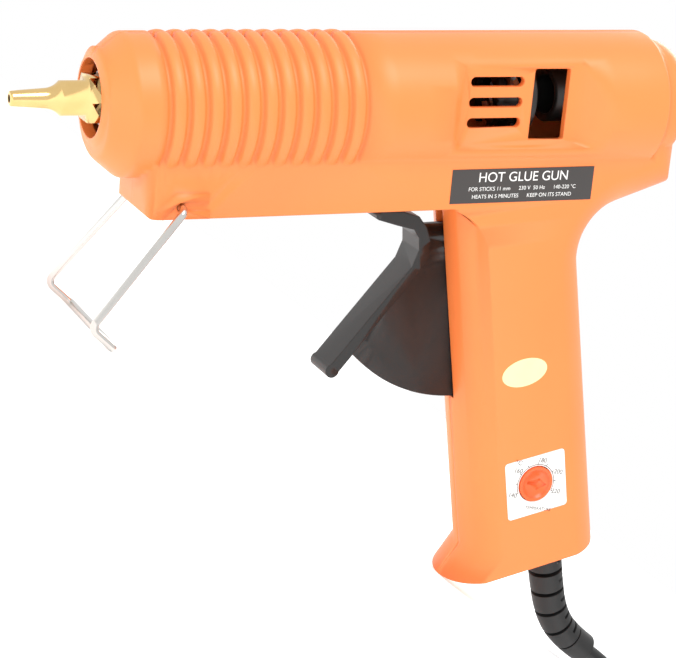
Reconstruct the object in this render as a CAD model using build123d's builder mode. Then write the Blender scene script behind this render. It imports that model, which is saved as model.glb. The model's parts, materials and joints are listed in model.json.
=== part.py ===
"""Hot glue gun for 11 mm sticks, standing on its wire stand and the toe of its handle.

The gun's own axes: x runs back from the nozzle's tip along the glue stick, z is up,
-y is the left side. Everything is drawn on planes of those axes, and the whole gun is
tilted nose down by LEAN, so that row z = 0 is the table.
"""

import math
import os

from build123d import *

# ---- driving dimensions, mm -------------------------------------------------
# how the gun stands
LEAN = 36.96  # nose-down tilt, degrees, set by the foot of the stand and the toe
SHIFT_X = -145.4  # centres the standing gun over the origin
SHIFT_Z = 39.51  # lifts the stand's foot and the toe to z = 0

# glue stick and barrel
STICK_R = 5.6
BARREL_Z = -2.0  # the barrel's axis is a little under the stick's
BARREL_R = 21.0
BARREL_R_REAR = 22.2
NOSE_X = 24.4
NOSE_FACE_R = 15.6
NOSE_CONE_X = 31.2
OPENING_R = 11.4
RIM_X = 205.5
TAIL_X = 217.0
TAIL_R = 19.4
WALL = 2.3

# cooling grooves round the barrel
GROOVES = 12
GROOVE_X = 39.5
GROOVE_PITCH = 5.5
GROOVE_W = 2.25
GROOVE_DEPTH = 1.4
LAND_BULGE = 0.35

# lower body and handle
HALF_W = 15.2
BODY_X = 37.4
BODY_Z = -32.4
GRIP_FRONT = (137.8, 160.65)  # x of the grip's front line at the body and at the base
GRIP_BASE_Z = (-162.35, -153.3)  # z of the base at the front and at the back
GRIP_BACK_X = (186.0, 208.4)  # x of the back line at the body's corner and at the base
BACK_CORNER_Z = -39.6
BACK_FLARE_R = 16.0
FRONT_ARC_DEPTH = 9.2
BACK_ARC_DEPTH = 12.0
TOE_LENGTH = 10.3
TOE_HEIGHT = 12.5

# trigger
PIVOT = (151.0, -47.0)
SECTOR_R = 52.4
SECTOR_STEP_R = 46.6
LEVER_HALF_W = 6.0
WEB_HALF_W = 1.7
PIN_R = 2.0
DRIVE_Z = -15.0  # height of the carriage's drive pin

# stand
WIRE_R = 1.2
HINGE = (47.1, -28.8)
KNEE = (19.7, 22.3, -61.4)
FOOT = (27.2, 21.4, -68.4)

# temperature dial
DIAL = (176.8, -127.4)
DIAL_R = 6.1
GRIP_TILT = 10.5  # the handle leans this much, and its labels with it

# nozzle
HEX_AF = 13.0
HEX_X = 21.7

# cord
CORD_D = 5.4
RELIEF_START = (192.3, -156.3)

GAP = 0.05  # running clearance, radial


# ---- the gun's planes -------------------------------------------------------
TURN = math.radians(LEAN)
GUN_X = Vector(math.cos(TURN), 0, math.sin(TURN))
GUN_Y = Vector(0, 1, 0)
GUN_Z = Vector(-math.sin(TURN), 0, math.cos(TURN))
ORIGIN = Vector(SHIFT_X, 0, SHIFT_Z)


def at(x, y, z):
    """A point of the gun's own axes, in the row frame."""
    return ORIGIN + GUN_X * x + GUN_Y * y + GUN_Z * z


def side(y=0.0):
    """The plane seen from the left: local x, y are the gun's x, z; its normal is -y."""
    return Plane(origin=at(0, y, 0), x_dir=GUN_X, z_dir=-GUN_Y)


def cross(x=0.0, z=0.0):
    """The plane across the barrel at x: local x, y are the gun's y, z; its normal is +x."""
    return Plane(origin=at(x, 0, z), x_dir=GUN_Y, z_dir=GUN_X)


def plan(z=0.0):
    """The plane seen from above at height z: local x, y are the gun's x, y."""
    return Plane(origin=at(0, 0, z), x_dir=GUN_X, z_dir=GUN_Z)


def axis_x(y=0.0, z=0.0):
    return Axis(at(0, y, z), GUN_X)


def save(part, name):
    part.label = name
    export_step(part, f"parts/{name}.step")


os.makedirs("parts", exist_ok=True)


# ---- housing forms ----------------------------------------------------------
def barrel_r(x):
    """The barrel's radius grows slowly towards the rear."""
    share = (x - NOSE_CONE_X) / (RIM_X - NOSE_CONE_X)
    return BARREL_R + share * (BARREL_R_REAR - BARREL_R)


def barrel_stretches():
    """Stretches of (x, r) from the nose's face to the tail; three points are an arc."""
    face, cone = NOSE_FACE_R, (NOSE_CONE_X, BARREL_R)
    out = [[(NOSE_X, 0), (NOSE_X, face - 1)]]
    out.append([(NOSE_X, face - 1), (NOSE_X + 0.3, face - 0.3), (NOSE_X + 1, face + 0.5)])
    out.append([(NOSE_X + 1, face + 0.5), (cone[0] - 0.8, cone[1] - 0.8)])
    out.append([(cone[0] - 0.8, cone[1] - 0.8), (cone[0] + 0.4, cone[1] - 0.15), (cone[0] + 1.8, cone[1])])
    last = (cone[0] + 1.8, cone[1])
    for k in range(GROOVES):
        x = GROOVE_X + k * GROOVE_PITCH
        r = barrel_r(x)
        floor = r - GROOVE_DEPTH
        if k == 0:
            out.append([last, (x, r)])
        else:
            out.append([last, ((last[0] + x) / 2, r + LAND_BULGE), (x, r)])
        out.append([(x, r), (x + 0.3, floor)])
        out.append([(x + 0.3, floor), (x + GROOVE_W - 0.3, floor)])
        out.append([(x + GROOVE_W - 0.3, floor), (x + GROOVE_W, r - 0.1)])
        last = (x + GROOVE_W, r - 0.1)
    rim = barrel_r(RIM_X)
    out.append([last, (RIM_X - 1.5, rim)])
    out.append([(RIM_X - 1.5, rim), (RIM_X - 0.45, rim - 0.45), (RIM_X, rim - 1.5)])
    out.append([(RIM_X, rim - 1.5), (RIM_X, TAIL_R), (TAIL_X - 8, TAIL_R)])
    out.append([(TAIL_X - 8, TAIL_R), (TAIL_X - 2.3, TAIL_R - 2.4), (TAIL_X, TAIL_R - 8)])
    out.append([(TAIL_X, TAIL_R - 8), (TAIL_X, 0), (NOSE_X, 0)])
    return out


def barrel_sketch():
    with BuildSketch(side()) as drawn:
        with BuildLine():
            for points in barrel_stretches():
                lifted = [(x, BARREL_Z + r) for x, r in points]
                curved = len(lifted) == 3 and lifted[0][0] != lifted[1][0] and lifted[2][0] != lifted[1][0]
                if curved:
                    ThreePointArc(*lifted)
                else:
                    Polyline(*lifted)
        make_face()
    return drawn.sketch


def outline(plane, *points):
    """A closed polygon on a plane."""
    with BuildSketch(plane) as drawn:
        with BuildLine():
            Polyline(*points, close=True)
        make_face()
    return drawn.sketch


def turned(z, *points, y=0.0, mode=Mode.ADD):
    """Revolves a closed outline of (x, r) about the line at height z along the gun."""
    face = outline(side(y), *[(x, z + r) for x, r in points])
    return revolve(face, axis=axis_x(y, z), mode=mode)


def bar(x0, x1, y0, y1, z0, z1, mode=Mode.ADD):
    """A box between two corners on the gun's axes."""
    face = outline(side(y1), (x0, z0), (x1, z0), (x1, z1), (x0, z1))
    return extrude(face, amount=y1 - y0, mode=mode)


def peg(x, z, r, y0, y1, mode=Mode.ADD):
    """A round bar across the gun, from y0 to y1."""
    with BuildSketch(side(y1)) as drawn:
        with Locations((x, z)):
            Circle(r)
    return extrude(drawn.sketch, amount=y1 - y0, mode=mode)


def crown(plane, depth, inset):
    """A section that leaves a crowned wall: all that lies before its arc is cut away."""
    half, deep = HALF_W - inset, inset + depth
    with BuildSketch(plane) as drawn:
        with BuildLine():
            ThreePointArc((deep, -half), (inset, 0), (deep, half))
            Polyline((deep, half), (deep, 20), (-8, 20), (-8, -20), (deep, -20), (deep, -half))
        make_face()
    return drawn.sketch


def lower_form(inset):
    """Lower body and grip: the side outline, round in plan, with crowned grip walls."""
    half = HALF_W - inset
    corners = (
        (BODY_X, -6),
        (BODY_X, BODY_Z),
        (GRIP_FRONT[0], BODY_Z),
        (GRIP_FRONT[1], GRIP_BASE_Z[0]),
        (GRIP_BACK_X[1], GRIP_BASE_Z[1]),
        (GRIP_BACK_X[0], BACK_CORNER_Z),
        (TAIL_X, -29.6),
        (TAIL_X, -6),
    )
    with BuildPart() as form:
        with BuildSketch(side()):
            with BuildLine():
                FilletPolyline(*corners, radius=(1.5, 2.5, 1.0, 4.5, BACK_FLARE_R, 6.0))
                Line(corners[-1], corners[0])
            make_face()
            if inset:
                offset(amount=-inset)
        extrude(amount=half, both=True)
        with BuildSketch(plan(-90)) as from_above:
            with Locations(((BODY_X + TAIL_X) / 2, 0)):
                Rectangle(TAIL_X - BODY_X - 2 * inset, 2 * half)
            fillet(from_above.vertices().group_by(Axis.X)[0], 4.0)
            fillet(from_above.vertices().group_by(Axis.X)[-1], 9.5)
        extrude(amount=100, both=True, mode=Mode.INTERSECT)

    # the front wall is crowned along its line, and the crown dies out into the body
    rise = BODY_Z - GRIP_BASE_Z[0]
    slope = (GRIP_FRONT[1] - GRIP_FRONT[0]) / rise
    run = (GUN_X * slope - GUN_Z).normalized()
    into = (GUN_X + GUN_Z * slope).normalized()
    with BuildPart() as front:
        start = Plane(origin=at(GRIP_FRONT[0], 0, BODY_Z), x_dir=into, z_dir=run)
        extrude(crown(start, FRONT_ARC_DEPTH, inset), amount=150)
        with BuildSketch(side()):
            with BuildLine():
                scoop = ThreePointArc((134.5, BODY_Z - 0.2), (144, -37.5), (149.8, -47))
                Polyline(scoop @ 1, (190, -60), (190, -175), (110, -175), (110, BODY_Z - 0.2), scoop @ 0)
            make_face()
        extrude(amount=30, both=True, mode=Mode.INTERSECT)

    # the back wall's crown runs up the grip, round the flare and on to the tail
    back_slope = (GRIP_BACK_X[1] - GRIP_BACK_X[0]) / (GRIP_BASE_Z[1] - BACK_CORNER_Z)
    below = (GRIP_BACK_X[1] - back_slope * 12, GRIP_BASE_Z[1] - 12)
    behind = (TAIL_X + 8, -29.6 + 8 * 0.322)
    with BuildPart() as back:
        with BuildLine(side()) as rail:
            FilletPolyline(below, (GRIP_BACK_X[0], BACK_CORNER_Z), behind, radius=BACK_FLARE_R)
        climb = rail.line % 0
        start = Plane(origin=rail.line @ 0, x_dir=climb.cross(GUN_Y), z_dir=climb)
        sweep(crown(start, BACK_ARC_DEPTH, inset), path=rail.line)

    with BuildPart() as shaped:
        add(form.part)
        add(front.part, mode=Mode.SUBTRACT)
        add(back.part, mode=Mode.SUBTRACT)
    return shaped.part


BASE_SLOPE = (GRIP_BASE_Z[1] - GRIP_BASE_Z[0]) / (GRIP_BACK_X[1] - GRIP_FRONT[1])
BASE_ALONG = (GUN_X + GUN_Z * BASE_SLOPE).normalized()
BASE_UP = (GUN_Z - GUN_X * BASE_SLOPE).normalized()
TOE_TIP = (152.2, GRIP_BASE_Z[0] - (GRIP_FRONT[1] - 152.2) * BASE_SLOPE)


def toe_section(rise, back):
    """The toe's plan at a height over the grip's base, moved back along it."""
    base = Plane(origin=at(TOE_TIP[0], 0, TOE_TIP[1]), x_dir=BASE_ALONG, z_dir=BASE_UP)
    reach = back + TOE_LENGTH
    with BuildSketch(base.offset(rise)) as drawn:
        with BuildLine():
            ThreePointArc((reach, -HALF_W), (back, 0), (reach, HALF_W))
            Polyline((reach, HALF_W), (34, HALF_W), (34, -HALF_W), (reach, -HALF_W))
        make_face()
    return drawn.sketch


SCREWS = (
    (62, -25),
    (112, -25),
    (121, 13.8),
    (200, 13.6),
    (203, -24),
    (178, -60),
    (170, -106),
    (174, -147),
)
SLOT_Z = (7.4, 1.05, -5.25)


with BuildPart() as solid_form:
    revolve(barrel_sketch(), axis=axis_x(0, BARREL_Z))
    turned(0, (NOSE_X - 1.2, 0), (NOSE_X - 1.2, OPENING_R + 0.8), (NOSE_X + 0.2, 14.7), (NOSE_X + 3, 14.7), (NOSE_X + 3, 0))
    add(lower_form(0))
    loft([toe_section(0, 0), toe_section(TOE_HEIGHT, TOE_HEIGHT)])

with BuildPart() as cavity:
    inner = BARREL_R - 2.4
    turned(
        BARREL_Z,
        (26.8, 0),
        (26.8, 12.9),
        (32.6, inner),
        (203, inner),
        (204.4, 17.1),
        (208.6, 17.1),
        (212.4, 14.8),
        (214.7, 10.6),
        (214.7, 0),
    )
    add(lower_form(WALL))
    bar(129, 184, -24, -13.8, -17, 19, mode=Mode.SUBTRACT)

with BuildPart() as shell:
    add(solid_form.part)
    add(cavity.part, mode=Mode.SUBTRACT)
    turned(0, (20, 0), (20, OPENING_R), (30, OPENING_R), (30, 0), mode=Mode.SUBTRACT)
    turned(0, (210, 0), (210, 8.6), (220, 8.6), (220, 0), mode=Mode.SUBTRACT)
    # the trigger's slot in the grip's front wall
    bar(132, 156, -2.4, 2.4, -100, -34, mode=Mode.SUBTRACT)
    # the cord's way out of the grip's base
    with BuildSketch(Plane(origin=at(191.7, 0, -153), x_dir=GUN_Y, z_dir=GUN_X * 0.18 - GUN_Z * 0.98)):
        Circle(6.1)
    extrude(amount=9, mode=Mode.SUBTRACT)

with BuildPart() as left_posts:
    for x, z in SCREWS:
        peg(x, z, 3.4, -13.4, 0)
    peg(*PIVOT, 4.5, -13.4, -6.4)
    peg(*HINGE, 3.2, -13.4, -9.4)
    add(solid_form.part, mode=Mode.INTERSECT)

with BuildPart() as right_posts:
    for x, z in SCREWS:
        peg(x, z, 4.6, 0, 13.4)
    peg(*PIVOT, 4.5, 6.4, 13.4)
    peg(*HINGE, 3.2, 9.4, 13.4)
    add(solid_form.part, mode=Mode.INTERSECT)

with BuildPart() as housing_left:
    add(shell.part)
    split(bisect_by=Plane.XZ, keep=Keep.TOP)
    # screw posts with blind pilots, trigger boss, stand boss
    add(left_posts.part)
    with BuildSketch(side(-14)):
        with BuildLine():
            Polyline((40.4, -31.2), (45.8, -25.8), (55.3, -26.2))
        trace(line_width=3)
        with BuildLine():
            Line((47.6, -30.9), (55.7, -31.0))
        trace(line_width=2.4)
    extrude(amount=2.1)
    for x, z in SCREWS:
        peg(x, z, 1.3, -9.5, 0, mode=Mode.SUBTRACT)
    peg(*PIVOT, PIN_R, -12.8, -6, mode=Mode.SUBTRACT)
    peg(*HINGE, WIRE_R + 0.08, -18, -9, mode=Mode.SUBTRACT)
    peg(*DIAL, DIAL_R + 0.25, -16, -12.5, mode=Mode.SUBTRACT)
    # the side recess: a floor with sloping walls
    with BuildSketch(side(-16)) as floor:
        with Locations((155.1, 0.6)):
            RectangleRounded(41.4, 25, 1.5)
    with BuildSketch(side(-24)) as mouth:
        with Locations((157.7, 0.05)):
            RectangleRounded(63.6, 31.9, 3)
    loft([floor.sketch, mouth.sketch], mode=Mode.SUBTRACT)
    with BuildSketch(side(-13)):
        for z in SLOT_Z:
            with Locations((145.8, z)):
                SlotOverall(18.4, 3.1)
        with Locations((164.65, 0.3)):
            RectangleRounded(12.5, 22.2, 0.8)
    extrude(amount=8, mode=Mode.SUBTRACT)

with BuildPart() as housing_right:
    add(shell.part)
    split(bisect_by=Plane.XZ, keep=Keep.BOTTOM)
    add(right_posts.part)
    with BuildSketch(side(16.1)):
        with BuildLine():
            Polyline((40.4, -31.2), (45.8, -25.8), (55.3, -26.2))
        trace(line_width=3)
        with BuildLine():
            Line((47.6, -30.9), (55.7, -31.0))
        trace(line_width=2.4)
    extrude(amount=2.1)
    for x, z in SCREWS:
        peg(x, z, 1.6, 0, 10, mode=Mode.SUBTRACT)
        peg(x, z, 3.1, 6, 30, mode=Mode.SUBTRACT)
    peg(*PIVOT, PIN_R, 6, 12.8, mode=Mode.SUBTRACT)
    peg(*HINGE, WIRE_R + 0.08, 9, 18, mode=Mode.SUBTRACT)

# ---- nozzle and check valve -------------------------------------------------
with BuildPart() as nozzle:
    with BuildSketch(side()):
        with BuildLine():
            Polyline((0, 1.2), (0, 1.8))
            ThreePointArc((0, 1.8), (0.25, 2.1), (0.8, 2.25))
            Line((0.8, 2.25), (10, 2.9))
            ThreePointArc((10, 2.9), (12.6, 3.6), (14.4, 5.0))
            Polyline((14.4, 5.0), (26.4, 5.0), (26.4, 4.0), (36, 4.0), (36, 3.0), (12.5, 3.0), (11.5, 1.2), (0, 1.2))
        make_face()
    revolve(axis=axis_x())
    with BuildSketch(cross(HEX_X)):
        RegularPolygon(HEX_AF / 2, 6, major_radius=False)
        Circle(3.0, mode=Mode.SUBTRACT)
    extrude(amount=26.4 - HEX_X)

with BuildPart() as valve_seat:
    turned(0, (25.34, 1.5), (25.34, 3.0), (28.3, 3.0), (28.3, 1.5))

with BuildPart() as check_ball:
    with BuildSketch(side()):
        with BuildLine():
            ThreePointArc((22, 0), (24, 2), (26, 0))
            Line((26, 0), (22, 0))
        make_face()
    revolve(axis=axis_x())

with BuildPart() as check_spring:
    with BuildLine() as coil_line:
        Helix(1.5, 8.2, 2.35, center=at(13.2, 0, 0), direction=GUN_X)
    with BuildSketch(Plane(origin=coil_line.line @ 0, z_dir=coil_line.line % 0)):
        Circle(0.3)
    sweep(path=coil_line.line)

# ---- melt chamber and heater ------------------------------------------------
with BuildPart() as melt_chamber:
    turned(0, (26.4, 4.0), (26.4, 8), (30, 9.5), (98, 9.5), (98, 7.5), (112, 7.5), (112, 4.0))
    bar(50, 90, -7.5, 7.5, -14, -7)
    turned(
        0,
        (20, 0),
        (20, 4.0),
        (36.5, 4.0),
        (40, STICK_R + 0.15),
        (108, STICK_R + 0.15),
        (112.5, 6.8),
        (113, 0),
        mode=Mode.SUBTRACT,
    )
    bar(52, 92, -5.2, 5.2, -12.6, -10, mode=Mode.SUBTRACT)

with BuildPart() as heater_plate:
    bar(54, 88, -5, 5, -12.3, -10.3)

with BuildPart() as contact_plate_top:
    bar(53, 94, -5, 5, -10.3, -10)

with BuildPart() as contact_plate_bottom:
    bar(53, 94, -5, 5, -12.6, -12.3)

with BuildPart() as insulation_wrap:
    with BuildSketch(cross(48)):
        Circle(10.6)
        with Locations((0, -10)):
            Rectangle(17.4, 9.4)
        Circle(9.9, mode=Mode.SUBTRACT)
        with Locations((0, -10)):
            Rectangle(16, 8, mode=Mode.SUBTRACT)
    extrude(amount=44)

with BuildPart() as front_ring:
    with BuildSketch(cross(37)):
        with Locations((0, BARREL_Z)):
            Circle(BARREL_R - 2.45)
        Circle(9.5, mode=Mode.SUBTRACT)
    extrude(amount=3)

with BuildPart() as back_ring:
    with BuildSketch(cross(98.5)):
        with Locations((0, BARREL_Z)):
            Circle(BARREL_R - 2.45)
        Circle(7.5, mode=Mode.SUBTRACT)
    extrude(amount=3)
    bar(98, 102, -10.5, 10.5, -24, -10.5, mode=Mode.SUBTRACT)

with BuildPart() as inlet_sleeve:
    turned(0, (103, 7.5), (103, 8.8), (112.5, 8.8), (114, 8.3), (127, 8.3), (127, 6.4), (113, 6.4), (112.1, 7.5))

with BuildPart() as sleeve_clip:
    turned(0, (106, 8.8), (106, 9.8), (108, 9.8), (108, 8.8))
    bar(106, 108, -0.2, 0.6, 8, 10.5, mode=Mode.SUBTRACT)

with BuildPart() as stick_guide:
    turned(0, (172, 6.2), (172, 8.6), (210.4, 8.6), (210.4, 10.4), (212.4, 10.4), (212.4, 8.6), (217, 8.6), (217, 6.2))

# ---- trigger ----------------------------------------------------------------
with BuildPart() as trigger:
    with BuildSketch(side()):
        with BuildLine():
            rear = Polyline((110.9, -80.3), (131.2, -54.2), (133.6, -50), (133.7, -45), (132, -40.7))
            tongue = Polyline(rear @ 1, (129, -37), (124, -35.4), (116, -34.9))
            tip = ThreePointArc(tongue @ 1, (114.3, -36), (115.6, -37.8))
            under = Polyline(tip @ 1, (121.5, -39.6), (127.6, -41.2), (129.6, -44), (130, -48), (128, -53.5), (103.2, -83.9))
            heel = ThreePointArc(under @ 1, (102.1, -87.6), (106, -86.4))
            Line(heel @ 1, rear @ 0)
        make_face()
    extrude(amount=LEVER_HALF_W, both=True)
    # the web is a sector that slides into the grip
    with BuildSketch(side()):
        with BuildLine():
            start, end = math.radians(219.7), math.radians(278)
            first = (PIVOT[0] + SECTOR_R * math.cos(start), PIVOT[1] + SECTOR_R * math.sin(start))
            last = (PIVOT[0] + SECTOR_R * math.cos(end), PIVOT[1] + SECTOR_R * math.sin(end))
            RadiusArc(first, last, -SECTOR_R)
            Polyline(last, (157, -47), (151, -40.8), (132.4, -41.2), (133, -50), (130.6, -54.2), first)
        make_face()
    extrude(amount=WEB_HALF_W, both=True)
    with BuildSketch(side()):
        with BuildLine():
            start, end = math.radians(222), math.radians(277)
            first = (PIVOT[0] + SECTOR_STEP_R * math.cos(start), PIVOT[1] + SECTOR_STEP_R * math.sin(start))
            last = (PIVOT[0] + SECTOR_STEP_R * math.cos(end), PIVOT[1] + SECTOR_STEP_R * math.sin(end))
            RadiusArc(first, last, -SECTOR_STEP_R)
            Polyline(last, (156, -47), (151, -42), (132.4, -42.2), (133, -50), (130.6, -54.2), first)
        make_face()
    extrude(amount=WEB_HALF_W + 0.3, both=True)
    # hub and the arm that drives the carriage
    peg(*PIVOT, 6.2, -6, 6)
    lean = math.atan2(DRIVE_Z - PIVOT[1], 10.4)
    arm = Plane(
        origin=at(PIVOT[0], 0, PIVOT[1]),
        x_dir=GUN_X * math.cos(lean) + GUN_Z * math.sin(lean),
        z_dir=-GUN_Y,
    )
    with BuildSketch(arm):
        with BuildLine():
            Polyline((0, -5), (20, -4.3), (34.6, -3.6))
            ThreePointArc((34.6, -3.6), (37.2, 0), (34.6, 3.6))
            Polyline((34.6, 3.6), (20, 4.3), (0, 5), (0, -5))
        make_face()
        with Locations((33, 0)):
            SlotOverall(6.6, 3.9, mode=Mode.SUBTRACT)
    extrude(amount=2.5, both=True)
    peg(*PIVOT, PIN_R + GAP, -7, 7, mode=Mode.SUBTRACT)

with BuildPart() as trigger_pin:
    peg(*PIVOT, PIN_R, -12.8, 12.8)

with BuildPart() as return_spring:
    with BuildLine() as coil_line:
        Helix(0.95, 2.6, 6.7, center=at(PIVOT[0], -2.7, PIVOT[1]), direction=-GUN_Y)
    with BuildSketch(Plane(origin=coil_line.line @ 0, z_dir=coil_line.line % 0)):
        Circle(0.4)
    sweep(path=coil_line.line)

# ---- feed carriage ----------------------------------------------------------
DRIVE = (PIVOT[0] + 10.4, DRIVE_Z)
with BuildPart() as carriage:
    turned(0, (150.5, 6.2), (150.5, 9.8), (152.6, 9.8), (152.6, 6.2))
    turned(0, (160, 6.2), (160, 13), (162, 13), (162, 6.2))
    bar(152, 160.5, -9.8, -8.2, -4, 4)
    bar(152, 160.5, 8.2, 9.8, -4, 4)
    bar(158, 165, 3.1, 5.2, -18.4, -8)
    bar(158, 165, -5.2, -3.1, -18.4, -8)
    bar(149, 166, -3.1, 3.1, -20, -7.7, mode=Mode.SUBTRACT)
    peg(*DRIVE, 1.6, -6, 6, mode=Mode.SUBTRACT)
    peg(154.6, 7.3, 0.8, -20, 20, mode=Mode.SUBTRACT)

with BuildPart() as drive_pin:
    peg(*DRIVE, 1.6, -5.2, 5.2)

with BuildPart() as stick_clamp:
    with BuildSketch(cross(155.6)):
        Circle(8.0)
        Circle(6.3, mode=Mode.SUBTRACT)
    extrude(amount=1.2)
    bar(153.4, 156.8, -2.4, 2.4, 6.6, 8.4)
    turned(0, (150, 0), (150, 6.3), (160, 6.3), (160, 0), mode=Mode.SUBTRACT)
    peg(154.6, 7.3, 0.8 + GAP, -4, 4, mode=Mode.SUBTRACT)

with BuildPart() as clamp_pin:
    peg(154.6, 7.3, 0.8, -9.8, 9.8)

# ---- wire stand -------------------------------------------------------------
with BuildPart() as wire_stand:
    with BuildLine() as wire_path:
        FilletPolyline(
            at(HINGE[0], 11, HINGE[1]),
            at(HINGE[0], 19.0, HINGE[1]),
            at(*KNEE),
            at(*FOOT),
            at(FOOT[0], -FOOT[1], FOOT[2]),
            at(KNEE[0], -KNEE[1], KNEE[2]),
            at(HINGE[0], -19.0, HINGE[1]),
            at(HINGE[0], -11, HINGE[1]),
            radius=2.4,
        )
    with BuildSketch(Plane(origin=wire_path.line @ 0, z_dir=wire_path.line % 0)):
        Circle(WIRE_R)
    sweep(path=wire_path.line)

# ---- temperature dial and electronics ---------------------------------------
with BuildPart() as temperature_dial:
    peg(*DIAL, DIAL_R, -15.9, -13.1)
    peg(*DIAL, 3.0, -13.1, -9.2)
    peg(*DIAL, DIAL_R * 0.8, -16.5, -15.4, mode=Mode.SUBTRACT)
    turn = math.radians(-GRIP_TILT)
    arrow = Plane(
        origin=at(DIAL[0], -15.5, DIAL[1]),
        x_dir=GUN_X * math.cos(turn) + GUN_Z * math.sin(turn),
        z_dir=-GUN_Y,
    )
    with BuildSketch(arrow.offset(-0.6)):
        with BuildLine():
            Polyline((-3.4, -0.6), (0.6, -0.6), (0.6, -2.2), (4.3, 0), (0.6, 2.2), (0.6, 0.6), (-3.4, 0.6), close=True)
        make_face()
    extrude(amount=2, mode=Mode.SUBTRACT)

with BuildPart() as potentiometer:
    peg(*DIAL, 8.0, -12.9, -8.8)
    peg(*DIAL, 3.0 + GAP, -13, -9.1, mode=Mode.SUBTRACT)

with BuildPart() as control_board:
    bar(163, 193, -8.8, -7.2, -136.4, -118.4)

with BuildPart() as capacitor:
    peg(168.5, -124, 4.0, -7.2, 1.5)

with BuildPart() as triac:
    bar(174, 179, -7.2, -2.7, -134, -124)
    bar(174.6, 178.4, -7.2, -6.2, -124, -120.5)

with BuildPart() as terminal_block:
    bar(181, 192, -7.2, 4, -134, -126)
    peg(184, -131, 1.2, 2.5, 8, mode=Mode.SUBTRACT)
    peg(189, -131, 1.2, 2.5, 8, mode=Mode.SUBTRACT)


def lead(*points):
    """A heater lead: a round wire along straight runs with tangent arcs."""
    with BuildLine() as route:
        FilletPolyline(*[at(*point) for point in points], radius=3)
    with BuildSketch(Plane(origin=route.line @ 0, z_dir=route.line % 0)) as section:
        Circle(0.75)
    return sweep(section.sketch, path=route.line)


with BuildPart() as heater_lead_left:
    lead(
        (94, -3.5, -11.1),
        (101, -8.5, -17),
        (150, -8.5, -18),
        (166, -8, -30),
        (168, -8, -62),
        (179, -8, -92),
        (176, -8, -108),
        (176, -8, -118.4),
    )

with BuildPart() as heater_lead_right:
    lead(
        (94, 3.5, -11.1),
        (101, 8.5, -17),
        (150, 8.5, -18),
        (166, 8, -30),
        (168, 8, -62),
        (180, 6, -88),
        (184, -8, -108),
        (184, -8, -118.4),
    )

# ---- cord entry -------------------------------------------------------------
RELIEF_END = (214.2, -200.8)
RELIEF_BENDS = ((195.2, -171.5), (199.6, -186.0), (207.04, -195.35))
ENTRY = (191.9, -154.2)  # just inside the grip's base
ENTRY_DIR = GUN_X * 0.187 - GUN_Z * 0.982


def tube(radius, *points):
    """A round bar along straight runs with the largest tangent arcs they allow."""
    places = [at(x, 0, z) for x, z in points]
    with BuildLine() as route:
        FilletPolyline(*places, radius=corner_radii(places))
    with BuildSketch(Plane(origin=route.line @ 0, z_dir=route.line % 0)) as section:
        Circle(radius)
    return sweep(section.sketch, path=route.line, mode=Mode.PRIVATE)


def corner_radii(points):
    """The largest tangent arc each corner's two runs allow."""
    radii = []
    for before, here, after in zip(points, points[1:], points[2:]):
        one, two = here - before, after - here
        half = math.radians(one.get_angle(two)) / 2
        radii.append(0.45 * min(one.length, two.length) / math.tan(half))
    return radii


with BuildPart() as cord_inside:
    add(tube(CORD_D / 2, (187.6, -134), (189.2, -140), *RELIEF_BENDS, RELIEF_END))

with BuildPart() as strain_relief:
    add(tube(5.7, ENTRY, *RELIEF_BENDS, RELIEF_END))
    entry = Plane(origin=at(ENTRY[0], 0, ENTRY[1]), x_dir=GUN_Y, z_dir=ENTRY_DIR)
    with BuildSketch(entry.offset(2.2)):
        Circle(6.9)
    extrude(amount=1.8)
    with BuildSketch(entry.offset(-1.8)):
        Circle(7.6)
    extrude(amount=1.65)
    with BuildSketch(entry.offset(-0.3)):
        Circle(5.65)
    extrude(amount=0.8)
    finish = Plane(origin=at(RELIEF_END[0], 0, RELIEF_END[1]), x_dir=GUN_Y, z_dir=(-1, 0, 0))
    with BuildSketch(finish):
        Circle(6.0)
    extrude(amount=3)
    add(tube(CORD_D / 2 + 0.04, (187.6, -134), (189.2, -140), *RELIEF_BENDS, RELIEF_END), mode=Mode.SUBTRACT)

with BuildPart() as cord_clamp:
    bar(181, 197, -7, 7, -149, -143)
    bar(181, 188, -12.9, 12.9, -149, -143)
    with BuildSketch(Plane(origin=at(189.2, 0, -140), x_dir=GUN_Y, z_dir=ENTRY_DIR)):
        Circle(CORD_D / 2 + 0.02)
    extrude(amount=12, mode=Mode.SUBTRACT)
    peg(184.5, -146, 1.1, -6, 8, mode=Mode.SUBTRACT)
    peg(195.2, -146, 0.9, -6, 8, mode=Mode.SUBTRACT)

with BuildPart() as clamp_screw_front:
    peg(184.5, -146, 1.1, -6, 7)

with BuildPart() as clamp_screw_back:
    peg(195.2, -146, 0.9, -6, 7)
    peg(195.2, -146, 1.6, 7, 8.2)

# ---- labels -----------------------------------------------------------------
with BuildPart() as rating_label:
    bar(133.9, 184.1, -HALF_W - 0.15, -HALF_W, -30.6, -19.85)

with BuildPart() as dial_label:
    tilted = Plane(
        origin=at(177.15, -HALF_W, -127.8),
        x_dir=GUN_X * math.cos(turn) - GUN_Z * math.sin(turn),
        z_dir=-GUN_Y,
    )
    with BuildSketch(tilted):
        RectangleRounded(22.2, 20.8, 1.2)
    extrude(amount=0.15)
    peg(*DIAL, DIAL_R + 0.25, -17, -14, mode=Mode.SUBTRACT)

with BuildPart() as inspection_sticker:
    sticker = Plane(
        origin=at(167.7, -HALF_W, -87.8),
        x_dir=GUN_X * math.cos(turn) - GUN_Z * math.sin(turn),
        z_dir=-GUN_Y,
    )
    with BuildSketch(sticker):
        Ellipse(8.2, 4.75)
    extrude(amount=0.12)

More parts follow.
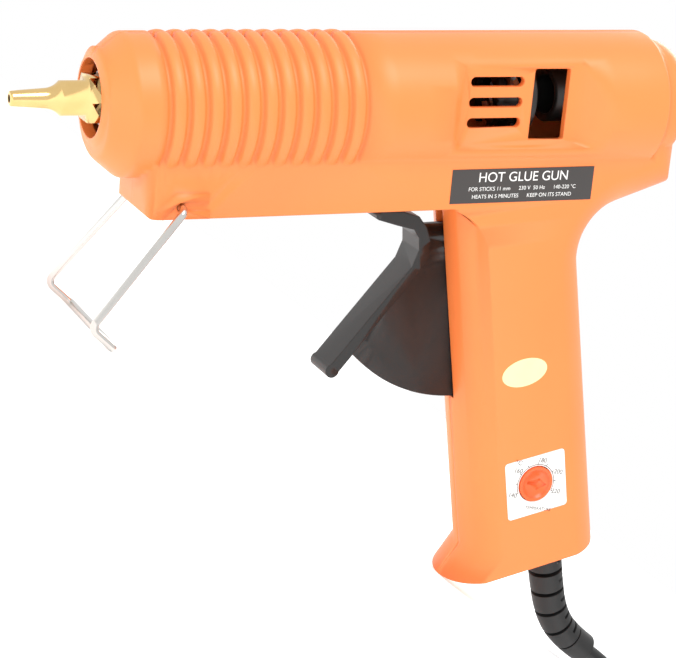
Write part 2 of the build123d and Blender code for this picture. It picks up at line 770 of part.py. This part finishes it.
# ---- cord, coil and plug, lying on the table --------------------------------
COIL = (212.0, -14.0)  # centre of the coil
COIL_R = (17.8, 37.5)
COIL_H = 16.4
cord_start = at(RELIEF_END[0], 0, RELIEF_END[1])
route = (
    cord_start,
    cord_start + Vector(16, 0, 0),
    Vector(cord_start.X + 29.5, 6.5, CORD_D / 2 + 0.1),
    Vector(cord_start.X + 42, 14.5, CORD_D / 2 + 0.1),
)

radii = corner_radii(route)
with BuildPart() as power_cord:
    with BuildLine() as cord_line:
        FilletPolyline(*route, radius=radii)
    with BuildSketch(Plane(origin=cord_line.line @ 0, z_dir=cord_line.line % 0)):
        Circle(CORD_D / 2)
    sweep(path=cord_line.line)
print("cord radii", [round(r, 1) for r in radii])
section = math.pi * CORD_D**2 / 4
print("cord volume over section and length", power_cord.part.volume / section / cord_line.wires()[0].length)


def ring(inner, outer, low, high):
    """An upright ring on the table at the coil's centre."""
    with BuildSketch(Plane(origin=(*COIL, low))) as drawn:
        Circle(outer)
        Circle(inner, mode=Mode.SUBTRACT)
    return extrude(drawn.sketch, amount=high - low)


with BuildPart() as cord_tie:
    ring(COIL_R[0], COIL_R[1], 0, COIL_H)
    with BuildSketch(Plane(origin=(COIL[0] + 28, COIL[1], 0))):
        Rectangle(30, 4)
    extrude(amount=COIL_H, mode=Mode.INTERSECT)
    with BuildSketch(Plane(origin=(*COIL, 0.8))):
        Circle(COIL_R[1] - 0.8)
        Circle(COIL_R[0] + 0.8, mode=Mode.SUBTRACT)
    extrude(amount=COIL_H - 1.6, mode=Mode.SUBTRACT)

with BuildPart() as cord_coil:
    ring(COIL_R[0], COIL_R[1], 0, COIL_H)
    add(cord_tie.part, mode=Mode.SUBTRACT)

# a flat two-pin plug, lying on the coil
PLUG = (COIL[0] - 3.5, COIL[1] + 21.0)
PLUG_H = 13.7
plug_face = Plane(origin=(*PLUG, COIL_H + PLUG_H / 2), x_dir=(0, 1, 0), z_dir=(1, 0, 0))
with BuildPart() as plug:
    with BuildSketch(plug_face):
        SlotOverall(9, 6.4)
    extrude(amount=10)
    with BuildSketch(plug_face.offset(8)):
        RectangleRounded(20, 11, 4)
    with BuildSketch(plug_face.offset(17)):
        RectangleRounded(35, PLUG_H, 6)
    loft()
    with BuildSketch(plug_face.offset(17)):
        RectangleRounded(35, PLUG_H, 6)
    extrude(amount=13)
    with BuildSketch(plug_face.offset(22)):
        with Locations((-9.3, 0), (9.3, 0)):
            Circle(2.0)
    extrude(amount=8, mode=Mode.SUBTRACT)


def plug_pin(across):
    """A round pin with a rounded end, seated in the plug."""
    seat = Plane(origin=plug_face.offset(22).from_local_coords((across, 0, 0)), z_dir=plug_face.z_dir)
    with BuildSketch(seat) as section:
        Circle(2.0)
    body = extrude(section.sketch, amount=27)
    return fillet(body.edges().sort_by(Axis.X)[-1], 1.2)


with BuildPart() as plug_pin_near:
    plug_pin(-9.3)

with BuildPart() as plug_pin_far:
    plug_pin(9.3)

# ---- screws -----------------------------------------------------------------
def housing_screw(x, z):
    """A pan-head screw from the right half into the left half's post."""
    peg(x, z, 1.25, -7.5, 6)
    peg(x, z, 2.9, 6, 8.2)
    bar(x - 2, x + 2, 7.2, 8.4, z - 0.4, z + 0.4, mode=Mode.SUBTRACT)
    bar(x - 0.4, x + 0.4, 7.2, 8.4, z - 2, z + 2, mode=Mode.SUBTRACT)


screws = []
for x, z in SCREWS:
    with BuildPart() as screw:
        housing_screw(x, z)
    screws.append(screw.part)

os.makedirs("parts", exist_ok=True)
for number, part in enumerate(screws, 1):
    save(part, f"housing_screw_{number}")
for name, piece in (
    ("housing_left", housing_left),
    ("housing_right", housing_right),
    ("nozzle", nozzle),
    ("valve_seat", valve_seat),
    ("check_ball", check_ball),
    ("check_spring", check_spring),
    ("melt_chamber", melt_chamber),
    ("heater_plate", heater_plate),
    ("contact_plate_top", contact_plate_top),
    ("contact_plate_bottom", contact_plate_bottom),
    ("insulation_wrap", insulation_wrap),
    ("front_ring", front_ring),
    ("back_ring", back_ring),
    ("inlet_sleeve", inlet_sleeve),
    ("sleeve_clip", sleeve_clip),
    ("stick_guide", stick_guide),
    ("trigger", trigger),
    ("trigger_pin", trigger_pin),
    ("return_spring", return_spring),
    ("carriage", carriage),
    ("drive_pin", drive_pin),
    ("stick_clamp", stick_clamp),
    ("clamp_pin", clamp_pin),
    ("wire_stand", wire_stand),
    ("temperature_dial", temperature_dial),
    ("potentiometer", potentiometer),
    ("control_board", control_board),
    ("capacitor", capacitor),
    ("triac", triac),
    ("terminal_block", terminal_block),
    ("heater_lead_left", heater_lead_left),
    ("heater_lead_right", heater_lead_right),
    ("strain_relief", strain_relief),
    ("cord_inside", cord_inside),
    ("cord_clamp", cord_clamp),
    ("clamp_screw_front", clamp_screw_front),
    ("clamp_screw_back", clamp_screw_back),
    ("rating_label", rating_label),
    ("dial_label", dial_label),
    ("inspection_sticker", inspection_sticker),
    ("power_cord", power_cord),
    ("cord_coil", cord_coil),
    ("cord_tie", cord_tie),
    ("plug", plug),
    ("plug_pin_near", plug_pin_near),
    ("plug_pin_far", plug_pin_far),
):
    save(piece.part, name)
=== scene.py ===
# %% [markdown]
# # A hot glue gun on its wire stand
# The gun leans nose down, resting on a bent wire in front and on the toe of its grip behind.
# Its moving parts come from a packed mechanical model, which is loaded first. Blender then
# adds what the eye notices: moulded plastic, turned brass, labels, a ribbed sleeve and a cord.

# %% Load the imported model
import json
import math

import bmesh
import bpy
import numpy as np
from mathutils import Matrix, Vector

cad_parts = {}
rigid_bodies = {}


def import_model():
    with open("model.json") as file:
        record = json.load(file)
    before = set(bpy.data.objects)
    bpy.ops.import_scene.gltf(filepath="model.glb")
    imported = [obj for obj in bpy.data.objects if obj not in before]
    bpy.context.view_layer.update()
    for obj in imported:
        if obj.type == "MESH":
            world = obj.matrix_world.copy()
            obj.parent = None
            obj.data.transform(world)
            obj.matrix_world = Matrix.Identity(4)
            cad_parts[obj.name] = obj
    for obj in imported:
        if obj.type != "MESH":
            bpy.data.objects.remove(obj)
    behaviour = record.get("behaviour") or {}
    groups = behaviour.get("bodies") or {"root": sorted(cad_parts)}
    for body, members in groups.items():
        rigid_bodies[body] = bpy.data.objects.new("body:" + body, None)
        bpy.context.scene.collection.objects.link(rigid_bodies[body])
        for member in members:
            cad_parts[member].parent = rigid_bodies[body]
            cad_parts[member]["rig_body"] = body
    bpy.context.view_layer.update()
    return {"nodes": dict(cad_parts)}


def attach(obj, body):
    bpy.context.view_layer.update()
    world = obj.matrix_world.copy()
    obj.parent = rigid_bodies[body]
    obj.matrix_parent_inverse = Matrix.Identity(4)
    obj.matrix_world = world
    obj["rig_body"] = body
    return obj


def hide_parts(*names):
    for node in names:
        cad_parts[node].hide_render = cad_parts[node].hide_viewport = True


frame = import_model()
print("packed nodes", len(frame["nodes"]))

# %% [markdown]
# ## The gun's own axes
# Most shapes on the gun follow its barrel, so it helps to measure along it: x runs back from
# the nozzle's tip, z up, in millimetres. One turn about Y and one shift bring such a point
# into the scene. Working this way keeps every number one that a ruler on the gun would read.

# %% From gun millimetres to scene metres
LEAN = math.radians(36.96)
SHIFT = np.array([-145.4, 0.0, 39.51])
GUN_AXES = np.array(
    [[math.cos(LEAN), 0, math.sin(LEAN)], [0, 1, 0], [-math.sin(LEAN), 0, math.cos(LEAN)]]
)


def place(points):
    """Scene place = (x * gun X + y * gun Y + z * gun Z + shift) / 1000, row by row."""
    return (np.asarray(points, float) @ GUN_AXES + SHIFT) / 1000


print("nozzle tip at", place([0, 0, 0]).round(4))

# %% [markdown]
# ## Camera
# A long lens from the front left, a little above. It is aimed with the gun's own axes, so the
# angles are those between the view and the barrel; a small roll is left as it was framed.

# %% Set the camera
LENS_MM = 103.3
VIEW_TURN, VIEW_DROP, VIEW_ROLL = 0.4538, 0.30823, 0.0889

across = np.array([math.cos(VIEW_TURN), -math.sin(VIEW_TURN), 0.0])
ahead = np.array(
    [math.sin(VIEW_TURN) * math.cos(VIEW_DROP), math.cos(VIEW_TURN) * math.cos(VIEW_DROP), -math.sin(VIEW_DROP)]
)
upward = np.cross(across, ahead)
right = math.cos(VIEW_ROLL) * across + math.sin(VIEW_ROLL) * upward
above = -math.sin(VIEW_ROLL) * across + math.cos(VIEW_ROLL) * upward

camera_data = bpy.data.cameras.new("studio_camera")
camera_data.lens = LENS_MM
camera_data.sensor_width = 36
camera_data.shift_x = -0.0187
camera_data.shift_y = -0.039
camera_data.clip_end = 20
camera = bpy.data.objects.new("studio_camera", camera_data)
bpy.context.scene.collection.objects.link(camera)
aim = Matrix.Identity(4)
for column, direction in enumerate((right, above, -ahead)):
    aim.col[column][:3] = direction @ GUN_AXES
aim.translation = place([-142.15, -518.86, 117.83])
camera.matrix_world = aim
bpy.context.scene.camera = camera
print("camera at", [round(c, 3) for c in camera.location])

# %% [markdown]
# ## Floor and light
# White catalogue light comes from everywhere, so the world itself is white. Two large soft
# lamps add a gentle direction. The floor is a wide white sheet that glows a little, so it
# meets the world without a line.

# %% Light the studio
world = bpy.data.worlds.new("white_studio")
world.use_nodes = True
world.node_tree.nodes["Background"].inputs["Color"].default_value = (1, 1, 1, 1)
world.node_tree.nodes["Background"].inputs["Strength"].default_value = 1.0
bpy.context.scene.world = world
bpy.context.scene.view_settings.view_transform = "Standard"


def soft_lamp(name, position, size, watts):
    """A square lamp that looks at the middle of the gun."""
    lamp = bpy.data.lights.new(name, "AREA")
    lamp.size, lamp.energy = size, watts
    piece = bpy.data.objects.new(name, lamp)
    bpy.context.scene.collection.objects.link(piece)
    toward = Vector((0, 0, 0.08)) - Vector(position)
    turned = toward.to_track_quat("-Z", "Y").to_matrix().to_4x4()
    piece.matrix_world = Matrix.Translation(position) @ turned
    return piece


soft_lamp("key_lamp", (-0.5, -0.7, 1.1), 0.7, 9)
soft_lamp("rim_lamp", (0.6, 0.7, 0.9), 0.6, 5)

# %% [markdown]
# ## Finishes
# Every finish starts from a Principled shader. Moulded plastic is a base colour that drifts by
# a few percent, a roughness that drifts too, and a fine spark-eroded grain as bump. A Bevel
# node rounds the shading at edges, as a real mould does.

# %% A node, a colour and a moulded plastic
def add(tree, kind, settings=None, **inputs):
    """Adds one node; inputs are values, or sockets to link from."""
    node = tree.nodes.new(kind)
    for key, value in (settings or {}).items():
        setattr(node, key, value)
    for key, value in inputs.items():
        socket = node.inputs[key.replace("_", " ")]
        if isinstance(value, bpy.types.NodeSocket):
            tree.links.new(value, socket)
        else:
            socket.default_value = value
    return node


def linear(code):
    """A linear colour from an sRGB hex code: each part c becomes ((c + 0.055) / 1.055) ** 2.4."""
    parts = [int(code[i : i + 2], 16) / 255 for i in (1, 3, 5)]
    return tuple(((c + 0.055) / 1.055) ** 2.4 if c > 0.04 else c / 12.92 for c in parts) + (1.0,)


def surface(
    name, colour, second, roughness, drift_mm, grain_mm, grain_depth_mm, edge_mm=0.5, **socket_values
):
    """Colour drifts between two tones over drift_mm; grain of grain_mm stands grain_depth_mm high."""
    material = bpy.data.materials.new(name)
    material.use_nodes = True
    tree = material.node_tree
    shader = tree.nodes["Principled BSDF"]
    where = add(tree, "ShaderNodeTexCoord").outputs["Object"]
    drift = add(tree, "ShaderNodeTexNoise", Vector=where, Scale=1000 / drift_mm, Detail=3.0)
    tone = add(tree, "ShaderNodeMix", {"data_type": "RGBA"})
    tree.links.new(drift.outputs["Fac"], tone.inputs[0])
    tone.inputs[6].default_value = linear(colour)
    tone.inputs[7].default_value = linear(second)
    tree.links.new(tone.outputs[2], shader.inputs["Base Color"])
    spread = add(tree, "ShaderNodeMapRange", Value=drift.outputs["Fac"])
    spread.inputs["To Min"].default_value = roughness * 0.88
    spread.inputs["To Max"].default_value = roughness * 1.12
    tree.links.new(spread.outputs["Result"], shader.inputs["Roughness"])
    grain = add(tree, "ShaderNodeTexNoise", Vector=where, Scale=1000 / grain_mm, Detail=2.0)
    rounded = add(tree, "ShaderNodeBevel", {"samples": 4}, Radius=edge_mm / 1000)
    bump = add(
        tree,
        "ShaderNodeBump",
        Height=grain.outputs["Fac"],
        Distance=grain_depth_mm / 1000,
        Strength=0.5,
        Normal=rounded.outputs["Normal"],
    )
    tree.links.new(bump.outputs["Normal"], shader.inputs["Normal"])
    for key, value in socket_values.items():
        shader.inputs[key.replace("_", " ")].default_value = value
    return material


# ABS, injection moulded: satin, slightly translucent orange
orange_abs = surface("orange_abs_moulded", "#FB8A45", "#F68240", 0.42, 40, 0.5, 0.03, 0.6, IOR=1.52)
# the dial is a glossier moulding of the same plastic
dial_abs = surface("dial_abs_glossy", "#F86A30", "#F26028", 0.30, 20, 0.4, 0.01, 0.3, IOR=1.52)
# glass-filled nylon: near black with a dull sheen
black_nylon = surface("black_nylon_moulded", "#151413", "#1D1B1A", 0.38, 15, 0.4, 0.02, 0.7, IOR=1.53)
# PVC cord and sleeve: softer and a little rubbery
black_pvc = surface("black_pvc_sleeve", "#131313", "#1B1B1B", 0.5, 12, 0.5, 0.02, 0.3, IOR=1.5)
# turned brass, polished by the lathe tool
turned_brass = surface("turned_brass", "#E9C98C", "#D9B473", 0.16, 6, 0.6, 0.004, 0.25, Metallic=1.0)
# bright nickel-plated spring wire
plated_wire = surface("nickel_plated_wire", "#D8D6D2", "#C6C4C0", 0.18, 5, 0.5, 0.004, 0.2, Metallic=1.0)
# zinc-plated steel screws and pins
plated_steel = surface("zinc_plated_steel", "#B9BABC", "#A6A7AA", 0.32, 4, 0.4, 0.01, 0.2, Metallic=1.0)
# die-cast aluminium: pale and grainy
cast_aluminium = surface("die_cast_aluminium", "#B4B4B3", "#A3A3A2", 0.45, 6, 0.6, 0.05, 0.3, Metallic=1.0)
# alumina ceramic heater and sleeving
ceramic = surface("fired_ceramic", "#D9D3C6", "#CBC4B5", 0.6, 8, 0.5, 0.03, 0.2)
# polyimide film wrap
film_wrap = surface("amber_film_wrap", "#A5561C", "#93480F", 0.3, 10, 1.5, 0.03, 0.2)
# pressed fibre rings
pressed_fibre = surface("pressed_fibre", "#8A7350", "#7B6543", 0.7, 5, 0.7, 0.05, 0.2)
# silicone sleeve, red and slightly glossy
red_silicone = surface("red_silicone", "#C4260E", "#B01E0A", 0.35, 10, 0.6, 0.01, 0.3)
# printed circuit board
board_laminate = surface("board_laminate", "#7B5A24", "#6C4E1E", 0.45, 4, 0.6, 0.01, 0.1)
# printed labels: coated film
charcoal_film = surface("charcoal_label_film", "#3A3736", "#403C3A", 0.45, 12, 0.4, 0.005, 0.1)
white_film = surface("white_label_film", "#F4F3F0", "#ECEBE8", 0.4, 12, 0.4, 0.004, 0.1)
yellow_film = surface("pale_yellow_film", "#EFEBB4", "#E8E3A6", 0.4, 6, 0.4, 0.004, 0.1)
white_ink = surface("white_print", "#F2F2F0", "#E8E8E6", 0.5, 10, 0.4, 0.002, 0.05)
black_ink = surface("black_print", "#1A1A1A", "#222222", 0.5, 10, 0.4, 0.002, 0.05)
white_paper = surface(
    "matt_white_sheet",
    "#FFFFFF",
    "#FDFDFD",
    0.9,
    300,
    5,
    0.0,
    0.1,
    Emission_Color=(1, 1, 1, 1),
    Emission_Strength=0.3,
)
print("finishes", len(bpy.data.materials))

# %% The floor
bpy.ops.mesh.primitive_plane_add(size=8)
floor = bpy.context.object
floor.name = "studio_floor"
floor.data.materials.append(white_paper)

# %% [markdown]
# ## Machined and moulded pieces
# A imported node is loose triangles, so light would catch each one. A copy is merged, shaded
# smooth, and kept sharp only where two faces meet at more than a set angle, which is how a
# moulded or turned piece really looks. Hidden pieces only need their finish.

# %% Copies with smooth shading
def smooth_copy(node, finish, sharp_degrees=32):
    """The node's triangles with shared corners, smooth where neighbours turn by less than the angle."""
    mesh = frame["nodes"][node].data.copy()
    form = bmesh.new()
    form.from_mesh(mesh)
    bmesh.ops.remove_doubles(form, verts=form.verts, dist=2e-6)
    bmesh.ops.dissolve_degenerate(form, edges=form.edges, dist=1e-7)
    form.to_mesh(mesh)
    form.free()
    mesh.materials.clear()
    mesh.materials.append(finish)
    mesh.polygons.foreach_set("use_smooth", [True] * len(mesh.polygons))
    mesh.set_sharp_from_angle(angle=math.radians(sharp_degrees))
    piece = bpy.data.objects.new(node + "_finished", mesh)
    bpy.context.scene.collection.objects.link(piece)
    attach(piece, frame["nodes"][node]["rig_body"])
    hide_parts(node)
    return piece


VISIBLE = {
    "housing_left": (orange_abs, "housing_plastic"),
    "housing_right": (orange_abs, "housing_plastic"),
    "trigger": (black_nylon, "black_plastic"),
    "nozzle": (turned_brass, "brass"),
    "wire_stand": (plated_wire, "steel_wire"),
    "temperature_dial": (dial_abs, "dial_plastic"),
    "carriage": (black_nylon, "black_plastic"),
    "stick_clamp": (plated_steel, "steel"),
    "stick_guide": (black_nylon, "black_plastic"),
    "melt_chamber": (cast_aluminium, "cast_aluminium"),
    "inlet_sleeve": (red_silicone, "silicone_red"),
    "plug": (black_pvc, "rubber_black"),
    "plug_pin_near": (turned_brass, "brass"),
    "plug_pin_far": (turned_brass, "brass"),
}
for number in range(1, 9):
    VISIBLE[f"housing_screw_{number}"] = (plated_steel, "steel")
for node, (finish, slot) in VISIBLE.items():
    smooth_copy(node, finish)
print("smoothed copies", len(VISIBLE))

# %% Finishes of the pieces inside
INSIDE = {
    "valve_seat": turned_brass,
    "check_ball": plated_steel,
    "check_spring": plated_steel,
    "heater_plate": ceramic,
    "contact_plate_top": plated_steel,
    "contact_plate_bottom": plated_steel,
    "insulation_wrap": film_wrap,
    "front_ring": pressed_fibre,
    "back_ring": pressed_fibre,
    "sleeve_clip": plated_steel,
    "trigger_pin": plated_steel,
    "return_spring": plated_steel,
    "drive_pin": plated_steel,
    "clamp_pin": plated_steel,
    "potentiometer": black_nylon,
    "control_board": board_laminate,
    "capacitor": black_nylon,
    "triac": black_nylon,
    "terminal_block": white_film,
    "heater_lead_left": ceramic,
    "heater_lead_right": ceramic,
    "cord_inside": black_pvc,
    "cord_clamp": white_film,
    "clamp_screw_front": plated_steel,
    "clamp_screw_back": plated_steel,
    "rating_label": charcoal_film,
    "dial_label": white_film,
    "inspection_sticker": yellow_film,
}
for node, finish in INSIDE.items():
    mesh = frame["nodes"][node].data
    mesh.materials.clear()
    mesh.materials.append(finish)
print("inner finishes", len(INSIDE))

# %% [markdown]
# ## Printing
# The labels carry plain, generic print. Text is made as a curve, turned into a mesh, and laid
# on the side of the gun a few hundredths of a millimetre proud, which is enough to be seen
# and too little to catch light at its edge.

# %% Text and marks on the gun's left side
SIDE_Y = -15.37


def on_side(flat, centre, degrees):
    """Turns flat (x, z) points by an angle and moves them to a centre on the gun's left side."""
    turn = math.radians(degrees)
    flat = np.asarray(flat, float)
    x = centre[0] + flat[:, 0] * math.cos(turn) - flat[:, 1] * math.sin(turn)
    z = centre[1] + flat[:, 0] * math.sin(turn) + flat[:, 1] * math.cos(turn)
    return place(np.column_stack([x, np.full(len(flat), SIDE_Y), z]))


def printed(name, words, height_mm, centre, degrees, ink):
    """Flat lettering of a height, centred at a point of the side."""
    curve = bpy.data.curves.new(name, "FONT")
    curve.body, curve.size = words, height_mm * 1.4
    curve.align_x, curve.align_y = "CENTER", "CENTER"
    lettering = bpy.data.objects.new(name + "_curve", curve)
    bpy.context.scene.collection.objects.link(lettering)
    bpy.context.view_layer.update()
    mesh = bpy.data.meshes.new_from_object(lettering)
    bpy.data.objects.remove(lettering)
    flat = np.empty(len(mesh.vertices) * 3)
    mesh.vertices.foreach_get("co", flat)
    mesh.vertices.foreach_set("co", on_side(flat.reshape(-1, 3)[:, :2], centre, degrees).ravel())
    mesh.materials.clear()
    mesh.materials.append(ink)
    piece = bpy.data.objects.new(name, mesh)
    bpy.context.scene.collection.objects.link(piece)
    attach(piece, "gun")
    return piece


printed("rating_title", "HOT GLUE GUN", 3.1, (159, -22.6), 0, white_ink)
SMALL_PRINT = {
    "rating_line_1": ("FOR STICKS 11 mm      230 V  50 Hz      140-220 °C", -26.2),
    "rating_line_2": ("HEATS IN 5 MINUTES      KEEP ON ITS STAND", -28.6),
}
for name, (words, height) in SMALL_PRINT.items():
    printed(name, words, 1.25, (159, height), 0, white_ink)

DIAL_CENTRE = (176.8, -127.4)
LABEL_TILT = -10.5
NUMBERS_OUT = 8.7  # from the dial's centre
for reading, angle in ((140, 215), (160, 152), (180, 90), (200, 35), (220, -15)):
    spot = (
        DIAL_CENTRE[0] + NUMBERS_OUT * math.cos(math.radians(angle + LABEL_TILT)) * 1.04,
        DIAL_CENTRE[1] + NUMBERS_OUT * math.sin(math.radians(angle + LABEL_TILT)) * 0.95,
    )
    printed(f"dial_number_{reading}", str(reading), 1.6, spot, LABEL_TILT, black_ink)
printed("dial_unit", "°C", 1.7, (169.6, -119.4), LABEL_TILT, black_ink)
printed("dial_caption", "TEMPERATURE", 1.1, (178.9, -136.6), LABEL_TILT, black_ink)


def arc_band(name, r_in, r_out, start, end, ink, steps=48):
    """A flat ring sector: each point is a radius times (cos, sin) of an angle."""
    angles = np.radians(np.linspace(start, end, steps))
    rim = np.column_stack([np.cos(angles), np.sin(angles)])
    points = on_side(np.vstack([rim * r_in, rim * r_out]), DIAL_CENTRE, LABEL_TILT)
    k = np.arange(steps - 1)
    faces = np.column_stack([k, k + 1, k + 1 + steps, k + steps])
    mesh = bpy.data.meshes.new(name)
    mesh.from_pydata(points.tolist(), [], faces.tolist())
    mesh.materials.append(ink)
    piece = bpy.data.objects.new(name, mesh)
    bpy.context.scene.collection.objects.link(piece)
    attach(piece, "gun")
    return piece


arc_band("dial_scale", 6.75, 6.95, -15, 215, black_ink)
for tick, angle in enumerate(np.linspace(215, -15, 9)):
    arc_band(f"dial_tick_{tick}", 6.75, 7.6, angle - 0.9, angle + 0.9, black_ink, steps=3)
print("printed pieces on the side at y", SIDE_Y, "mm")

# %% [markdown]
# ## Strain relief
# The sleeve where the cord leaves the grip is a tube cut by slots from alternate sides, so it
# bends but never kinks. Here it is one surface: a radius that depends on the distance along a
# bent centreline, dropping in each slot over a third of the way round on each side.

# %% The ribbed sleeve
SLEEVE_BENDS = [
    (191.9, 0, -154.2),
    (195.2, 0, -171.5),
    (199.6, 0, -186.0),
    (207.04, 0, -195.35),
    (214.2, 0, -200.8),
]


def smooth_line(corners, samples):
    """A quadratic spline: each piece blends from one run's middle to the next round a corner."""
    p = place(corners)
    middles = (p[1:] + p[:-1]) / 2
    starts = np.vstack([p[:1], middles[1:-1]])
    ends = np.vstack([middles[1:-1], p[-1:]])
    t = np.linspace(0, 1, samples)[None, :, None]
    curve = (1 - t) ** 2 * starts[:, None] + 2 * t * (1 - t) * p[1:-1, None] + t**2 * ends[:, None]
    line = curve.reshape(-1, 3)
    keep = np.r_[True, np.linalg.norm(np.diff(line, axis=0), axis=1) > 1e-7]
    return line[keep]


def skin(name, line, radius_of, finish, around=56):
    """Carries a circle along a line in the XZ plane; its radius is a function of distance and angle."""
    run = np.gradient(line, axis=0)
    run /= np.linalg.norm(run, axis=1)[:, None]
    sideways = np.array([0.0, 1.0, 0.0])
    upright = np.cross(run, sideways)
    along = np.r_[0, np.cumsum(np.linalg.norm(np.diff(line, axis=0), axis=1))] * 1000
    angle = np.linspace(0, 2 * np.pi, around, endpoint=False)
    radius = radius_of(along[:, None], angle[None, :]) / 1000
    ring = np.cos(angle)[None, :, None] * sideways + np.sin(angle)[None, :, None] * upright[:, None]
    points = (line[:, None] + radius[:, :, None] * ring).reshape(-1, 3)
    i, j = np.meshgrid(np.arange(len(line) - 1), np.arange(around), indexing="ij")
    a, b = i * around + j, i * around + (j + 1) % around
    faces = np.stack([a, a + around, b + around, b], axis=-1).reshape(-1, 4).tolist()
    last = (len(line) - 1) * around
    faces += [list(range(around)), list(range(last + around - 1, last - 1, -1))]
    mesh = bpy.data.meshes.new(name)
    mesh.from_pydata(points.tolist(), [], faces)
    mesh.materials.append(finish)
    form = bmesh.new()
    form.from_mesh(mesh)
    bmesh.ops.recalc_face_normals(form, faces=form.faces)
    form.to_mesh(mesh)
    form.free()
    mesh.polygons.foreach_set("use_smooth", [True] * len(mesh.polygons))
    mesh.set_sharp_from_angle(angle=math.radians(40))
    piece = bpy.data.objects.new(name, mesh)
    bpy.context.scene.collection.objects.link(piece)
    return piece


def sleeve_radius(along, angle):
    """A cone from 6.1 to 5.4 mm, a collar at the grip, and slots 1.1 mm wide every 4 mm."""
    cone = 6.1 - 0.7 * along / 52 + 0 * angle
    phase = (along - 9) / 4.0
    slot_here = (np.abs(phase - np.round(phase)) < 0.14) & (along > 8) & (along < 45)
    side = np.where(np.round(phase).astype(int) % 2 == 0, np.cos(angle - 0.9), -np.cos(angle - 0.9))
    cone = np.where(slot_here & (side > -0.25), 3.9, cone)
    return np.where((along > 2.2) & (along < 4.6), 6.9, cone)


fine_line = smooth_line(SLEEVE_BENDS, 90)
sleeve = skin("ribbed_sleeve", fine_line, sleeve_radius, black_pvc)
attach(sleeve, "gun")
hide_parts("strain_relief")
print("sleeve faces", len(sleeve.data.polygons))

# %% [markdown]
# ## Cord
# The mains cord is 1.45 m long. It leaves the sleeve level with the table, comes down to
# it, and the rest is wound into a three-layer coil held by a tie, with the plug lying on top.
# It is one spline, so that it bends as smoothly as a real lead.

# %% The cord's spline
CORD_R = 2.7
COIL_X, COIL_Y = 212.0, -14.0
POINTS_PER_TURN = 16
SPLINE_PULL = 1.015  # the spline runs a little inside its control points
cord_exit = place([214.2, 0, -200.8]) * 1000


def coil_points(turns, r_start, r_end, z_start, z_end, first_angle):
    """A clockwise spiral: the radius changes evenly, the height within the first third of a turn."""
    count = int(turns * POINTS_PER_TURN)
    share = np.arange(1, count + 1) / count
    angle = np.radians(first_angle) - 2 * np.pi * turns * share
    radius = (r_start + (r_end - r_start) * share) * SPLINE_PULL
    rise = z_start + (z_end - z_start) * np.sin(np.pi / 2 * np.clip(share * turns * 3, 0, 1))
    x, y = COIL_X + radius * np.cos(angle), COIL_Y + radius * np.sin(angle)
    return np.column_stack([x, y, rise])


low, middle, high = 2.8, 8.3, 13.8  # heights of the three layers
plug_z = 23.25  # the middle of the plug, which lies on the coil
route = [cord_exit, cord_exit + [16, 0, 0], [176, 6.5, low], [188.5, 14.5, low]]
route += list(coil_points(2.5, 34.8, 20.8, low, low, 130))
route += list(coil_points(2.5, 20.8, 34.8, low, middle, 310))
route += list(coil_points(2.5, 34.8, 20.8, middle, high, 130))
route += list(coil_points(220 / 360, 20.8, 20.8, high, plug_z, 310))
route += [[COIL_X + 4, COIL_Y + 21, plug_z]]
route = np.array(route) / 1000

curve = bpy.data.curves.new("mains_cord", "CURVE")
curve.dimensions = "3D"
curve.bevel_depth = CORD_R / 1000
curve.bevel_resolution = 4
curve.resolution_u = 5
spline = curve.splines.new("NURBS")
spline.points.add(len(route) - 1)
spline.points.foreach_set("co", np.column_stack([route, np.ones(len(route))]).ravel())
spline.order_u = 3
spline.use_endpoint_u = True
curve.use_fill_caps = True
curve.materials.append(black_pvc)
cord = bpy.data.objects.new("mains_cord", curve)
bpy.context.scene.collection.objects.link(cord)
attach(cord, "gun")
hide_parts("power_cord", "cord_coil")

# %% The tie round the coil
TIE_OUT, TIE_IN = 35.4, 19.9  # corner centres from the coil's middle
TIE_LOW, TIE_TOP = 2.6, 14.4  # corner centres above the table
TIE_CORNER, TIE_HALF_WIDTH = 2.6, 2
corner = np.radians(np.arange(0, 91, 15))
loop = []
centres = [(TIE_OUT, TIE_LOW), (TIE_OUT, TIE_TOP), (TIE_IN, TIE_TOP), (TIE_IN, TIE_LOW)]
for (cx, cz), start in zip(centres, (-90, 0, 90, 180)):
    angles = corner + math.radians(start)
    loop.append(np.column_stack([cx + TIE_CORNER * np.cos(angles), cz + TIE_CORNER * np.sin(angles)]))
loop = np.vstack(loop)
outer = np.column_stack([COIL_X + loop[:, 0], np.zeros(len(loop)), np.clip(loop[:, 1], 0.05, None)])
near_rim, far_rim = outer.copy(), outer.copy()
near_rim[:, 1], far_rim[:, 1] = COIL_Y - TIE_HALF_WIDTH, COIL_Y + TIE_HALF_WIDTH
count = len(loop)
k = np.arange(count)
faces = np.column_stack([k, (k + 1) % count, (k + 1) % count + count, k + count])
mesh = bpy.data.meshes.new("cord_tie_band")
mesh.from_pydata((np.vstack([near_rim, far_rim]) / 1000).tolist(), [], faces.tolist())
mesh.materials.append(white_film)
tie = bpy.data.objects.new("cord_tie_band", mesh)
bpy.context.scene.collection.objects.link(tie)
thick = tie.modifiers.new("thickness", "SOLIDIFY")
thick.thickness, thick.offset = 0.0006, 1
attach(tie, "gun")
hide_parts("cord_tie")
